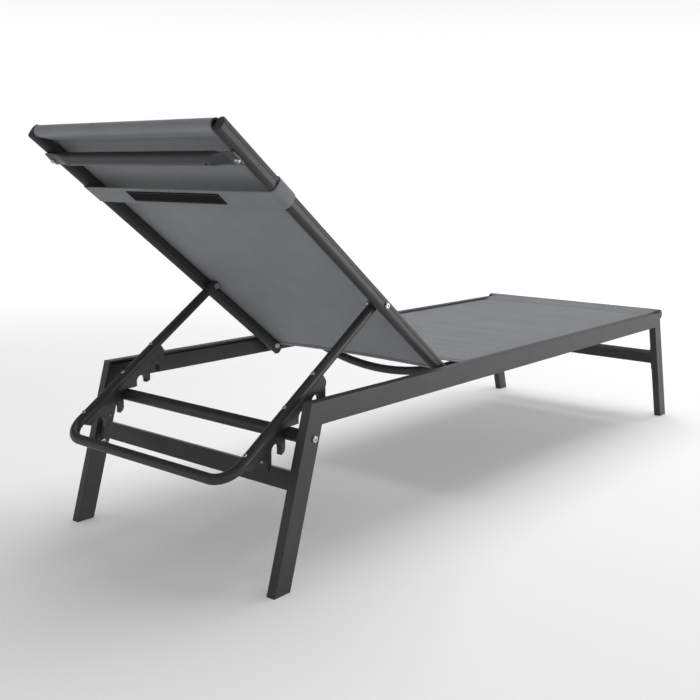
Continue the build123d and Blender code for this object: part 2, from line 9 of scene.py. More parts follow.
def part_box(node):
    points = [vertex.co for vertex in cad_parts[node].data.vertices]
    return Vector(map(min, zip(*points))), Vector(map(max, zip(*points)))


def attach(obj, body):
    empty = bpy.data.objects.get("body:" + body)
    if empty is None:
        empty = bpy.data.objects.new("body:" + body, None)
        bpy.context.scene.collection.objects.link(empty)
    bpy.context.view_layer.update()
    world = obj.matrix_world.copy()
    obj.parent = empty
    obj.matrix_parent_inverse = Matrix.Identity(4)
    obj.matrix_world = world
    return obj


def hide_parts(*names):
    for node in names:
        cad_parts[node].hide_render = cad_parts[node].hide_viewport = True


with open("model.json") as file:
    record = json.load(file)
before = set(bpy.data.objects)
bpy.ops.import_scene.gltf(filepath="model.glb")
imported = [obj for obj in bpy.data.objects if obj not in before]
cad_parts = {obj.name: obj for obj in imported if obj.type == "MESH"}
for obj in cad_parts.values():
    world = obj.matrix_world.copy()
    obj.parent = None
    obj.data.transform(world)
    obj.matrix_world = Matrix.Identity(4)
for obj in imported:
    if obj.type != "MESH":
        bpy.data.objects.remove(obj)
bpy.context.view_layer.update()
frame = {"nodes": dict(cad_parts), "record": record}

# ---------------------------------------------------------------------------
# The setting: a pale studio floor that runs off to a white surround, a broad
# soft light overhead, one low on the open side and one past the foot end, and
# the camera at the head end, a little below the top of the backrest.
mm = 0.001
bpy.context.scene.view_settings.view_transform = "Standard"


def linear(hex_colour):
    channels = [int(hex_colour[i:i + 2], 16) / 255 for i in (1, 3, 5)]
    return (*[c / 12.92 if c < 0.04045 else ((c + 0.055) / 1.055) ** 2.4 for c in channels], 1.0)


def add(tree, kind, settings=(), inputs=()):
    node = tree.nodes.new(kind)
    for name, value in dict(settings).items():
        setattr(node, name, value)
    for name, value in dict(inputs).items():
        socket = node.inputs[name]
        if isinstance(value, bpy.types.NodeSocket):
            tree.links.new(value, socket)
        else:
            socket.default_value = value
    return node


def new_material(name):
    material = bpy.data.materials.new(name)
    material.use_nodes = True
    material.node_tree.nodes.clear()
    return material, material.node_tree


def finish_material(tree, shader):
    add(tree, "ShaderNodeOutputMaterial", inputs={"Surface": shader.outputs[0]})


def put_in_scene(name, data):
    piece = bpy.data.objects.new(name, data)
    bpy.context.scene.collection.objects.link(piece)
    return piece


floor_half = 30.0
floor_mesh = bpy.data.meshes.new("studio_floor")
floor_mesh.from_pydata([(-floor_half, -floor_half, 0), (floor_half, -floor_half, 0),
                        (floor_half, floor_half, 0), (-floor_half, floor_half, 0)],
                       [], [(0, 1, 2, 3)])
floor = put_in_scene("studio_floor", floor_mesh)
paper, paper_tree = new_material("white_studio_paper")
# Painted light: the paper glows, faintly near the lounger and more strongly towards the surround, so it
# brightens into the white; the painted glow also lights the lounger from below.
paper_way = add(paper_tree, "ShaderNodeVectorMath", {"operation": "LENGTH"}, {
    0: add(paper_tree, "ShaderNodeTexCoord").outputs["Object"]})
painted_floor_glow = add(paper_tree, "ShaderNodeMapRange", {"interpolation_type": "SMOOTHSTEP"}, {
    "Value": paper_way.outputs["Value"], "From Min": 0.8, "From Max": 6.0, "To Min": 0.16, "To Max": 0.95})
finish_material(paper_tree, add(paper_tree, "ShaderNodeBsdfPrincipled", inputs={
    "Base Color": linear("#EEEEEE"), "Roughness": 0.9, "Specular IOR Level": 0.2,
    "Emission Color": linear("#FFFFFF"), "Emission Strength": painted_floor_glow.outputs["Result"]}))
floor_mesh.materials.append(paper)

# The surround is white at eye level and falls off to grey overhead, as the walls of a lit cove do.
world = bpy.data.worlds.new("white_surround")
world.use_nodes = True
world.node_tree.nodes.clear()
sky_way = add(world.node_tree, "ShaderNodeSeparateXYZ", inputs={
    "Vector": add(world.node_tree, "ShaderNodeTexCoord").outputs["Generated"]})
sky_fall = add(world.node_tree, "ShaderNodeMapRange", {"interpolation_type": "SMOOTHSTEP"}, {
    "Value": sky_way.outputs["Z"], "From Min": 0.12, "From Max": 0.4, "To Min": 1.0, "To Max": 0.22})
surround = add(world.node_tree, "ShaderNodeBackground", inputs={
    "Color": linear("#FFFFFF"), "Strength": sky_fall.outputs["Result"]})
add(world.node_tree, "ShaderNodeOutputWorld", inputs={"Surface": surround.outputs[0]})
bpy.context.scene.world = world


def softbox(name, place, aim, width, height, power):
    data = bpy.data.lights.new(name, "AREA")
    data.shape = "RECTANGLE"
    data.size = width
    data.size_y = height
    data.energy = power
    lamp = put_in_scene(name, data)
    lamp.location = place
    lamp.rotation_euler = (Vector(aim) - Vector(place)).to_track_quat("-Z", "Y").to_euler()


softbox("overhead_softbox", place=(0.7, 0.1, 3.4), aim=(0.1, 0, 0.3), width=3.2, height=3.2, power=84)
softbox("side_softbox", place=(2.1, -3.3, 0.5), aim=(0.3, 0, 0.2), width=2.4, height=0.8, power=52)
softbox("far_softbox", place=(3.9, -0.7, 2.9), aim=(0.3, -0.2, 0.3), width=1.8, height=1.8, power=20)

camera_data = bpy.data.cameras.new("camera")
camera_data.lens = 48.92
camera_data.sensor_width = 36.0
camera = put_in_scene("camera", camera_data)
camera.location = (-1.966, -1.3732, 0.7249)
camera_yaw, camera_pitch, camera_roll = radians(39.23), radians(-10.32), radians(0.69)
look = Vector((cos(camera_pitch) * cos(camera_yaw), cos(camera_pitch) * sin(camera_yaw), sin(camera_pitch)))
level_right = look.cross(Vector((0, 0, 1))).normalized()
level_up = level_right.cross(look)
right = level_right * cos(camera_roll) + level_up * sin(camera_roll)
up = level_up * cos(camera_roll) - level_right * sin(camera_roll)
camera.rotation_euler = Matrix((right, up, -look)).transposed().to_euler()
bpy.context.scene.camera = camera

# ---------------------------------------------------------------------------
# Frame tubes: extruded aluminium, cut, bent and welded, then powder coated in
# one matt dark grey. The coat hides the metal and leaves a faint pebbled skin.
# Powder coat is a polyester film, so it shines like a plastic, not a metal.


def powder_coat(name, colour, worn_colour):
    material, tree = new_material(name)
    place = add(tree, "ShaderNodeTexCoord").outputs["Object"]
    # The pebble of a sprayed powder is about 1.5 mm across; it is drawn at 3 mm so that it shows.
    pebble = add(tree, "ShaderNodeTexNoise", inputs={
        "Vector": place, "Scale": 1 / (3 * mm), "Detail": 2.0, "Roughness": 0.5})
    # The film is a little thicker in some stretches, which shifts its tone over a hand's width.
    film = add(tree, "ShaderNodeTexNoise", inputs={
        "Vector": place, "Scale": 1 / (90 * mm), "Detail": 3.0, "Roughness": 0.6})
    tone = add(tree, "ShaderNodeMapRange", inputs={
        "Value": film.outputs["Fac"], "From Min": 0.35, "From Max": 0.7, "To Min": 0.0, "To Max": 1.0})
    coat = add(tree, "ShaderNodeMix", {"data_type": "RGBA"}, {
        0: tone.outputs["Result"], 6: linear(colour), 7: linear(worn_colour)})
    sheen_spread = add(tree, "ShaderNodeMapRange", inputs={
        "Value": pebble.outputs["Fac"], "From Min": 0.3, "From Max": 0.7, "To Min": 0.38, "To Max": 0.5})
    skin = add(tree, "ShaderNodeBump", inputs={
        "Strength": 0.18, "Distance": 0.15 * mm, "Height": pebble.outputs["Fac"]})
    finish_material(tree, add(tree, "ShaderNodeBsdfPrincipled", inputs={
        "Base Color": coat.outputs[2], "Roughness": sheen_spread.outputs["Result"],
        "IOR": 1.5, "Specular IOR Level": 0.35, "Normal": skin.outputs["Normal"]}))
    return material


def dress(material, *nodes):
    for node in nodes:
        for slot in frame["nodes"][node].material_slots:
            slot.material = material


grey_coat = powder_coat("powder_coated_aluminium", "#2D2E2F", "#323334")
dress(grey_coat, "side_rail_left", "side_rail_right", "head_leg_left", "head_leg_right",
      "foot_leg_left", "foot_leg_right", "head_crossbar", "foot_crossbar", "catch_bar",
      "curved_crossbar", "foot_tube", "back_rail_left", "back_rail_right", "top_tube",
      "spreader_bar", "prop_tube")

# ---------------------------------------------------------------------------
# Mouldings: glides, tube plugs, washers and the edge rods of the cloth are
# injection-moulded polypropylene, and the combs glass-filled nylon. The mould
# was spark eroded, which leaves a fine even grain and no gloss.


def moulded(name, colour, roughness):
    material, tree = new_material(name)
    place = add(tree, "ShaderNodeTexCoord").outputs["Object"]
    # Spark grain is about 0.3 mm; it is drawn at 1.2 mm so that it shows.
    grain = add(tree, "ShaderNodeTexVoronoi", inputs={"Vector": place, "Scale": 1 / (1.2 * mm)})
    flow = add(tree, "ShaderNodeTexNoise", inputs={
        "Vector": place, "Scale": 1 / (25 * mm), "Detail": 2.0})
    shade = add(tree, "ShaderNodeMapRange", inputs={
        "Value": flow.outputs["Fac"], "To Min": roughness - 0.06, "To Max": roughness + 0.08})
    skin = add(tree, "ShaderNodeBump", inputs={
        "Strength": 0.25, "Distance": 0.1 * mm, "Height": grain.outputs["Distance"]})
    finish_material(tree, add(tree, "ShaderNodeBsdfPrincipled", inputs={
        "Base Color": linear(colour), "Roughness": shade.outputs["Result"],
        "IOR": 1.49, "Normal": skin.outputs["Normal"]}))
    return material


dress(moulded("moulded_polypropylene", "#262728", 0.5), "head_glide_left", "head_glide_right",
      "foot_glide_left", "foot_glide_right", "foot_tube_caps", "hinge_spacers", "back_rail_caps",
      "prop_washers", "seat_edge_rods", "back_edge_rods")
dress(moulded("glass_filled_nylon", "#1D1E1F", 0.45), "comb_left", "comb_right")

# ---------------------------------------------------------------------------
# Bolts and screws: steel button heads, zinc plated and left bright. The plating
# is pale and slightly cloudy; the hair-fine turning mark left on the heads is not drawn.
zinc, zinc_tree = new_material("zinc_plated_steel")
zinc_place = add(zinc_tree, "ShaderNodeTexCoord").outputs["Object"]
cloud = add(zinc_tree, "ShaderNodeTexNoise", inputs={
    "Vector": zinc_place, "Scale": 1 / (4 * mm), "Detail": 4.0})
plate = add(zinc_tree, "ShaderNodeMapRange", inputs={
    "Value": cloud.outputs["Fac"], "To Min": 0.25, "To Max": 0.45})
tint = add(zinc_tree, "ShaderNodeMix", {"data_type": "RGBA"}, {
    0: cloud.outputs["Fac"], 6: linear("#A2A3A2"), 7: linear("#BDBEBE")})
finish_material(zinc_tree, add(zinc_tree, "ShaderNodeBsdfPrincipled", inputs={
    "Base Color": tint.outputs[2], "Metallic": 1.0, "Roughness": plate.outputs["Result"]}))
dress(zinc, "head_crossbar_bolts", "foot_crossbar_bolts", "catch_bar_bolts", "hinge_bolt_left",
      "hinge_bolt_right", "spreader_screws", "prop_pivot_bolts", "comb_screws")

# ---------------------------------------------------------------------------
# Seat cloth: one length of woven polyester yarn coated in PVC. Its side edges
# are held in the rails by plastic rods, its head end is turned under and sewn,
# and its foot end goes round the foot tube and is sewn to itself.
cloth = 1.0 * mm
seat_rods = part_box("seat_edge_rods")
foot_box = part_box("foot_tube")
foot_centre = ((foot_box[0][0] + foot_box[1][0]) / 2, (foot_box[0][2] + foot_box[1][2]) / 2)
foot_radius = (foot_box[1][2] - foot_box[0][2]) / 2
seat_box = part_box("seat_sling")
seat_level = (seat_rods[0][2] + seat_rods[1][2]) / 2
seat_split = seat_rods[1][0] + 15 * mm
seat_half = seat_box[1][1]
rail_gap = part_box("catch_bar")[1][1]
rail_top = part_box("side_rail_left")[1][2]
hem_depth = 25 * mm


# The line of a cloth seen from its side: straight runs and arcs, cut into short steps.
def trace(start, pieces, step=5 * mm):
    line = [Vector(start)]
    for piece in pieces:
        if piece[0] == "to":
            end = Vector(piece[1])
            begin = line[-1].copy()
            count = max(1, round((end - begin).length / step))
            line += [begin.lerp(end, (i + 1) / count) for i in range(count)]
        else:
            centre, radius, first, last = piece[1:]
            count = max(6, round(abs(last - first) * radius / (step / 3)))
            for i in range(count + 1):
                angle = first + (last - first) * i / count
                point = Vector((centre[0] + radius * cos(angle), centre[1] + radius * sin(angle)))
                if (point - line[-1]).length > 1e-6:
                    line.append(point)
    return line


# A cloth that parts at `split`, goes round a tube and comes back, with a hem turned under its start.
def sling_line(start, split, centre, tube_radius, hem_depth, step=5 * mm):
    middle = tube_radius + 0.05 * mm + cloth / 2
    run = Vector(centre) - Vector(split)
    slope = atan2(run.y, run.x)
    turn = asin(middle / run.length)
    touch = [(centre[0] - side * middle * sin(slope + side * turn),
              centre[1] + side * middle * cos(slope + side * turn)) for side in (1, -1)]
    fold = 0.56 * cloth
    under = (start[0] + hem_depth, start[1] - 2 * fold)
    return trace(under, [
        ("to", (start[0], under[1])),
        ("arc", (start[0], start[1] - fold), fold, -pi / 2, -3 * pi / 2),
        ("to", split), ("to", touch[0]),
        ("arc", centre, middle, slope + turn + pi / 2, slope - turn - pi / 2),
        ("to", (split[0], split[1] - 1.1 * cloth))], step)


# A cloth woven from rows of points. Its UV map is the flat cut, in metres.
def cloth_piece(name, rows, lengths, thickness):
    across = len(rows[0])
    points = [point for row in rows for point in row]
    faces = []
    for i in range(len(rows) - 1):
        for j in range(across - 1):
            corner = i * across + j
            faces.append((corner, corner + 1, corner + across + 1, corner + across))
    mesh = bpy.data.meshes.new(name)
    mesh.from_pydata(points, [], faces)
    uv = mesh.uv_layers.new(name="cut")
    sideways = []
    for row in rows:
        total = [0.0]
        for a, b in zip(row, row[1:]):
            total.append(total[-1] + (Vector(b) - Vector(a)).length)
        sideways.append([t - total[-1] / 2 for t in total])
    for loop in mesh.loops:
        i, j = divmod(loop.vertex_index, across)
        uv.data[loop.index].uv = (sideways[i][j], lengths[i])
    for polygon in mesh.polygons:
        polygon.use_smooth = True
    piece = put_in_scene(name, mesh)
    wall = piece.modifiers.new("cloth thickness", "SOLIDIFY")
    wall.thickness = thickness
    wall.offset = 0.0
    return piece


def distances(line):
    total = [0.0]
    for a, b in zip(line, line[1:]):
        total.append(total[-1] + (b - a).length)
    return total


def smooth(value):
    value = min(1.0, max(0.0, value))
    return value * value * (3 - 2 * value)


seat_start = seat_rods[0][0]
seat_line = sling_line((seat_start, seat_level), (seat_split, seat_level), foot_centre, foot_radius,
                       hem_depth)
seat_lengths = distances(seat_line)
ripple_height = 3.4 * mm             # of the creases that tension leaves across the cloth
swell_rate, crease_rate = 9, 21      # broad and narrow creases along a metre of cloth
sag = 2.5 * mm                       # of the middle, below the line between the rails
rise = 5 * mm                        # of its middle towards the foot tube, where no rail holds it down
rise_run = 0.42
ear = seat_box[1][1] + 14.4 * mm     # the roll's ends run out over the rails to the tube's plugs
ear_low, ear_high = radians(-80), radians(130)     # the stretch of the roll that has them
crown = radians(100)
lift_off = 0.7 * mm                  # height over the rails at which the cloth spreads on to them
lying = 0.8 * mm                     # its middle line's height over the rails where it lies on them
lap = 3 * mm
seat_columns = 97
seat_rows = []
for point, length in zip(seat_line, seat_lengths):
    on_top = length > hem_depth and point.x < seat_split - 1e-6 and length < seat_lengths[-1] / 2 + 0.45
    half = seat_half if point.x < seat_rods[1][0] else rail_gap - 0.5 * mm
    around = atan2(point.y - foot_centre[1], point.x - foot_centre[0])
    on_rail = point.x > seat_split and point.y > rail_top + lift_off and around > crown
    if on_rail:
        half = rail_gap + lap
    if point.x > seat_split and ear_low < around < ear_high:
        half = ear
    row = []
    for j in range(seat_columns):
        side = 2 * j / (seat_columns - 1) - 1
        y = side * half
        z = point.y
        if on_top:
            ease = smooth((point.x - seat_start - 10 * mm) / (70 * mm))
            ease *= smooth((seat_split - 40 * mm - point.x) / (160 * mm))
            fade = 0.35 + 0.65 * smooth((seat_split - 0.25 - point.x) / 0.6)
            swell = noise.noise(Vector((point.x * swell_rate - y * 0.8, y * 1.2, 11.0)))
            crease = noise.noise(Vector((point.x * crease_rate + y * 1.1, y * 1.9, 3.0)))
            z += ease * (1 - side ** 4) * (ripple_height * fade * (swell + 0.7 * crease) - sag)
        if length > hem_depth + 50 * mm:
            roll_edge = foot_centre[0] - foot_radius
            climb = smooth((point.x - seat_split + rise_run) / rise_run)
            land = smooth((roll_edge - point.x) / (roll_edge - seat_split))
            z += rise * (1 - side ** 2) * min(climb, land)
        if on_rail:
            reach = (foot_radius + cloth) ** 2 - (point.x - foot_centre[0]) ** 2
            lowest = max(rail_top + lying, foot_centre[1] + sqrt(max(reach, 0.0)))
            z += min(0.0, lowest - z) * smooth((abs(y) - rail_gap + 14 * mm) / (12 * mm))
        row.append((point.x, y, z))
    seat_rows.append(row)
seat_cloth = cloth_piece("seat_cloth", seat_rows, seat_lengths, cloth)


def woven(name, warp_colour, weft_colour, warp_pitch, weft_pitch, depth, roughness):
    """Plain weave on the cut's own UV map, with pitches in metres."""
    material, tree = new_material(name)
    cut = add(tree, "ShaderNodeSeparateXYZ", inputs={
        "Vector": add(tree, "ShaderNodeUVMap", {"uv_map": "cut"}).outputs["UV"]})
    across, along = cut.outputs["X"], cut.outputs["Y"]

    def math(kind, a, b=0.0):
        node = add(tree, "ShaderNodeMath", {"operation": kind}, {0: a})
        if isinstance(b, bpy.types.NodeSocket):
            tree.links.new(b, node.inputs[1])
        else:
            node.inputs[1].default_value = b
        return node.outputs[0]

    warp = math("SINE", math("MULTIPLY", across, 2 * pi / warp_pitch))
    weft = math("SINE", math("MULTIPLY", along, 2 * pi / weft_pitch))
    over = math("MULTIPLY", warp, weft)
    ribs = math("ADD", math("ABSOLUTE", warp), math("ABSOLUTE", weft))
    height = math("ADD", math("MULTIPLY", over, 0.5), ribs)
    place = add(tree, "ShaderNodeTexCoord").outputs["Object"]
    slub = add(tree, "ShaderNodeTexNoise", inputs={
        "Vector": place, "Scale": 1 / (60 * mm), "Detail": 4.0, "Roughness": 0.6})
    yarn = add(tree, "ShaderNodeMapRange", inputs={
        "Value": math("ADD", math("MULTIPLY", over, 0.35), slub.outputs["Fac"]),
        "From Min": 0.1, "From Max": 0.9})
    tone = add(tree, "ShaderNodeMix", {"data_type": "RGBA"}, {
        0: yarn.outputs["Result"], 6: linear(warp_colour), 7: linear(weft_colour)})
    skin = add(tree, "ShaderNodeBump", inputs={"Strength": 0.5, "Distance": depth, "Height": height})
    finish_material(tree, add(tree, "ShaderNodeBsdfPrincipled", inputs={
        "Base Color": tone.outputs[2], "Roughness": roughness, "IOR": 1.5,
        "Sheen Weight": 0.15, "Sheen Roughness": 0.5, "Normal": skin.outputs["Normal"]}))
    return material


# The yarns are 0.5 mm thick, 1.1 mm apart; they are drawn 2.4 mm apart so that the weave shows.
sling_weave = woven("pvc_coated_polyester_weave", "#696B6D", "#7A7C7E", 2.4 * mm, 2.4 * mm, 0.3 * mm, 0.6)
seat_cloth.data.materials.append(sling_weave)
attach(seat_cloth, "base")
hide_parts("seat_sling")

# ---------------------------------------------------------------------------
# Backrest cloth: the same weave, held in the back rails in the same way, with
# its top sewn round the top tube. Its lower hem is cut slightly hollow, so it
# clears whoever sits on the seat.
recline = radians(37.2)
joints = {joint["name"]: joint for joint in frame["record"]["behaviour"]["joints"]}
hinge = Vector(joints["back_recline"]["pos_m"])
up_the_back = Vector((-cos(recline), 0, sin(recline)))
out_of_front = Vector((sin(recline), 0, cos(recline)))


def on_back(along, sideways, out):
    return hinge + up_the_back * along + out_of_front * out + Vector((0, sideways, 0))


back_level = 11.2 * mm
back_start = -8 * mm
back_split = 775 * mm
top_centre = (812 * mm, 2 * mm)
top_radius = 10 * mm
back_half = 248.5 * mm
top_half = 243.4 * mm
hollow = 10 * mm
hollow_reach = 120 * mm              # how far up the cloth the hollow fades out
back_hem = 12 * mm
back_line = sling_line((back_start, back_level), (back_split, back_level), top_centre, top_radius, back_hem)
back_lengths = distances(back_line)


# How far the hollow of the lower hem moves a point up the back.
def hem_dip(along, side):
    return smooth(1 - (along - back_start) / hollow_reach) * hollow * (0.6 - side * side)


back_columns = 81
back_rows = []
for point, length in zip(back_line, back_lengths):
    half = back_half if point.x < back_split - 10 * mm else top_half
    row = []
    for j in range(back_columns):
        side = 2 * j / (back_columns - 1) - 1
        along = point.x + hem_dip(point.x, side)
        out = point.y
        if back_start + 30 * mm < point.x < back_split - 30 * mm and length > back_hem:
            ease = smooth((point.x - back_start - 30 * mm) / (80 * mm))
            ease *= smooth((back_split - 30 * mm - point.x) / (80 * mm))
            swell = noise.noise(Vector((point.x * 7, side * 1.2, 23.0)))
            out += ease * (1 - side ** 4) * (0.8 * mm * swell + 1.2 * mm)
        row.append(tuple(on_back(along, side * half, out)))
    back_rows.append(row)
back_cloth = cloth_piece("back_cloth", back_rows, back_lengths, cloth)
back_cloth.data.materials.append(sling_weave)
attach(back_cloth, "back")
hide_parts("back_sling")

# ---------------------------------------------------------------------------
# Headrest strap: flat polyester webbing, one half from each end of the pillow,
# out over the back rail, round it, and across behind the cloth to the middle.
strap_width = 47 * mm
strap_thick = 1.6 * mm
strap_middle = 640.5 * mm
rail_centre = 253.85 * mm
strap_clear = 0.4 * mm
rail_round = 10 * mm
rail_flat = 5 * mm
strap_radius = rail_round + strap_clear + strap_thick / 2
strap_out = rail_flat + strap_radius
strap_pieces = []
for side, label in ((1, "left"), (-1, "right")):
    line = trace((180 * mm, strap_out), [
        ("to", (rail_centre, strap_out)),
        ("arc", (rail_centre, rail_flat), strap_radius, pi / 2, 0),
        ("to", (rail_centre + strap_radius, -rail_flat)),
        ("arc", (rail_centre, -rail_flat), strap_radius, 0, -pi / 2),
        ("to", (0.4 * mm, -strap_out))], 6 * mm)
    lengths = distances(line)
    rows = []
    for point in line:
        row = []
        for j in range(13):
            offset = (j / 12 - 0.5) * strap_width
            row.append(tuple(on_back(strap_middle + offset, side * point.x, point.y)))
        rows.append(row if side > 0 else row[::-1])
    strap = cloth_piece(f"strap_{label}", rows, lengths, strap_thick)
    strap_pieces.append(strap)
# Webbing has a rib of weft every 1.3 mm; it is drawn every 2.6 mm so that it shows.
webbing = woven("polyester_webbing", "#636566", "#76787A", 3.4 * mm, 2.6 * mm, 0.4 * mm, 0.8)
for strap, label in zip(strap_pieces, ("left", "right")):
    strap.data.materials.append(webbing)
    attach(strap, "headrest")
    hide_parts(f"headrest_strap_{label}")

# ---------------------------------------------------------------------------
# Closure patch: woven nylon hook-and-loop tape, sewn over the two ends of the
# strap behind the back. Its loops make a dull black nap.
patch_low, patch_high = -123 * mm, 134 * mm
patch_width = 30 * mm
patch_face = -18.5 * mm              # behind the middle of the rails
patch_bm = bmesh.new()
patch_columns, patch_steps = 9, 65
grid = []
for i in range(patch_steps):
    y = patch_low + (patch_high - patch_low) * i / (patch_steps - 1)
    row = []
    for j in range(patch_columns):
        side = 2 * j / (patch_columns - 1) - 1
        end = min(y - patch_low, patch_high - y)
        narrow = min(1.0, (end + 3 * mm) / (6 * mm))
        lift = 0.5 * mm * (1 - abs(side) ** 6) * min(1.0, end / (3 * mm) + 0.2)
        row.append(patch_bm.verts.new(on_back(strap_middle + side * patch_width / 2 * (0.9 + 0.1 * narrow),
                                              y, patch_face + 0.7 * mm - lift)))
    grid.append(row)
for a, b in zip(grid, grid[1:]):
    for j in range(patch_columns - 1):
        patch_bm.faces.new((a[j], a[j + 1], b[j + 1], b[j]))
patch_mesh = bpy.data.meshes.new("closure_tape")
patch_bm.to_mesh(patch_mesh)
patch_bm.free()
for polygon in patch_mesh.polygons:
    polygon.use_smooth = True
closure = put_in_scene("closure_tape", patch_mesh)
closure_wall = closure.modifiers.new("tape thickness", "SOLIDIFY")
closure_wall.thickness = 1.0 * mm
closure_wall.offset = 0.0
nap, nap_tree = new_material("nylon_loop_nap")
nap_place = add(nap_tree, "ShaderNodeTexCoord").outputs["Object"]
# Each loop is about 0.4 mm; the nap is drawn in 1.6 mm tufts so that it shows.
tufts = add(nap_tree, "ShaderNodeTexNoise", inputs={
    "Vector": nap_place, "Scale": 1 / (1.6 * mm), "Detail": 4.0, "Roughness": 0.7})
nap_tone = add(nap_tree, "ShaderNodeMix", {"data_type": "RGBA"}, {
    0: tufts.outputs["Fac"], 6: linear("#060606"), 7: linear("#141414")})
nap_skin = add(nap_tree, "ShaderNodeBump", inputs={
    "Strength": 0.8, "Distance": 0.6 * mm, "Height": tufts.outputs["Fac"]})
finish_material(nap_tree, add(nap_tree, "ShaderNodeBsdfPrincipled", inputs={
    "Base Color": nap_tone.outputs[2], "Roughness": 0.95, "Specular IOR Level": 0.15,
    "Normal": nap_skin.outputs["Normal"]}))
patch_mesh.materials.append(nap)
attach(closure, "headrest")
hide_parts("closure_patch")

# ---------------------------------------------------------------------------
# Headrest pillow: two panels of the sling's own colour in a softer weave, sewn
# edge to edge and stuffed with polyester fibre. The strap carries it in front.
pillow_middle = (659.5 * mm, 35.2 * mm)
pillow_length, pillow_across, pillow_thick = 150 * mm, 400 * mm, 46 * mm
shrink = 7 * mm                      # room left for the filling to swell it
pillow_mesh = bpy.data.meshes.new("pillow")
pillow_bm = bmesh.new()
bmesh.ops.create_cube(pillow_bm, size=1.0)
bmesh.ops.subdivide_edges(pillow_bm, edges=pillow_bm.edges[:], cuts=15, use_grid_fill=True)
for vert in pillow_bm.verts:
    a, b, c = 2 * vert.co.x, 2 * vert.co.y, 2 * vert.co.z
    crown = (1 - abs(a) ** 5) * (1 - abs(b) ** 8)
    corner = 1 - 0.05 * (a * b) ** 6
    thick = (0.16 + 0.84 * max(crown, 0.0) ** 0.5) * (pillow_thick / 2 - shrink)
    pull_in = 1 - 0.03 * (1 - b * b) * abs(a) ** 3
    vert.co = Vector((a * (pillow_length / 2 - shrink) * corner * pull_in,
                      b * (pillow_across / 2 - shrink) * corner, c * thick))
pillow_bm.to_mesh(pillow_mesh)
pillow_bm.free()
pillow = put_in_scene("headrest_pillow_cover", pillow_mesh)


def applied(piece):
    shape = bpy.data.meshes.new_from_object(piece.evaluated_get(bpy.context.evaluated_depsgraph_get()))
    piece.modifiers.clear()
    piece.data = shape
    return piece


remesh = pillow.modifiers.new("even mesh", "REMESH")
remesh.mode = "VOXEL"
remesh.voxel_size = 5 * mm
applied(pillow)
rest_shape = [vert.co.copy() for vert in pillow.data.vertices]
stuffing = 4.0
swelling_steps = 20
most = 7 * mm                        # how far the filling may push any point
filling = pillow.modifiers.new("filling", "CLOTH")
filling.settings.use_pressure = True
filling.settings.uniform_pressure_force = stuffing
filling.settings.effector_weights.gravity = 0.0
filling.settings.quality = 6
for step in range(1, swelling_steps + 1):
    bpy.context.scene.frame_set(step)
applied(pillow)
bpy.context.scene.frame_set(1)
for vert, rest in zip(pillow.data.vertices, rest_shape):
    move = vert.co - rest
    if move.length > most:
        vert.co = rest + move * (most / move.length)
flat_back = -pillow_thick / 2 + 0.6 * mm
for vert in pillow.data.vertices:
    vert.co.z = max(vert.co.z, flat_back)
    vert.co.x = max(-pillow_length / 2, min(pillow_length / 2, vert.co.x))
    vert.co.y = max(-pillow_across / 2, min(pillow_across / 2, vert.co.y))
    x, y, z = vert.co
    pucker = noise.noise(Vector((x * 30, y * 14, 7.0)))
    vert.co.z += 0.8 * mm * pucker * smooth((z + pillow_thick / 4) / (pillow_thick / 2))
    vert.co = on_back(pillow_middle[0] + vert.co.x, vert.co.y, pillow_middle[1] + vert.co.z)
for polygon in pillow.data.polygons:
    polygon.use_smooth = True
soften = pillow.modifiers.new("smooth cover", "SUBSURF")
soften.levels = 1
soften.render_levels = 1
applied(pillow)
for polygon in pillow.data.polygons:
    polygon.use_smooth = True

cover, cover_tree = new_material("spun_polyester_cover")
cover_place = add(cover_tree, "ShaderNodeMapping", inputs={
    "Vector": add(cover_tree, "ShaderNodeTexCoord").outputs["Object"],
    "Rotation": (0, recline, 0)}).outputs["Vector"]
# The yarn is 0.6 mm; it is drawn at 2.2 mm so that the weave shows.
cover_scale = 2 / (6.28 * 2.2 * mm)
cover_warp = add(cover_tree, "ShaderNodeTexWave", {"bands_direction": "X"}, {
    "Vector": cover_place, "Scale": cover_scale, "Distortion": 0.4})
cover_weft = add(cover_tree, "ShaderNodeTexWave", {"bands_direction": "Y"}, {
    "Vector": cover_place, "Scale": cover_scale, "Distortion": 0.4})
cover_height = add(cover_tree, "ShaderNodeMath", {"operation": "ADD"}, {
    0: cover_warp.outputs["Fac"], 1: cover_weft.outputs["Fac"]})
cover_slub = add(cover_tree, "ShaderNodeTexNoise", inputs={
    "Vector": cover_place, "Scale": 1 / (30 * mm), "Detail": 4.0})
cover_tone = add(cover_tree, "ShaderNodeMix", {"data_type": "RGBA"}, {
    0: cover_slub.outputs["Fac"], 6: linear("#5A5C5E"), 7: linear("#6E7072")})
cover_skin = add(cover_tree, "ShaderNodeBump", inputs={
    "Strength": 0.4, "Distance": 0.3 * mm, "Height": cover_height.outputs[0]})
finish_material(cover_tree, add(cover_tree, "ShaderNodeBsdfPrincipled", inputs={
    "Base Color": cover_tone.outputs[2], "Roughness": 0.85, "Sheen Weight": 0.25,
    "Sheen Roughness": 0.5, "Normal": cover_skin.outputs["Normal"]}))
pillow.data.materials.clear()
pillow.data.materials.append(cover)
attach(pillow, "headrest")
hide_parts("headrest_pillow")

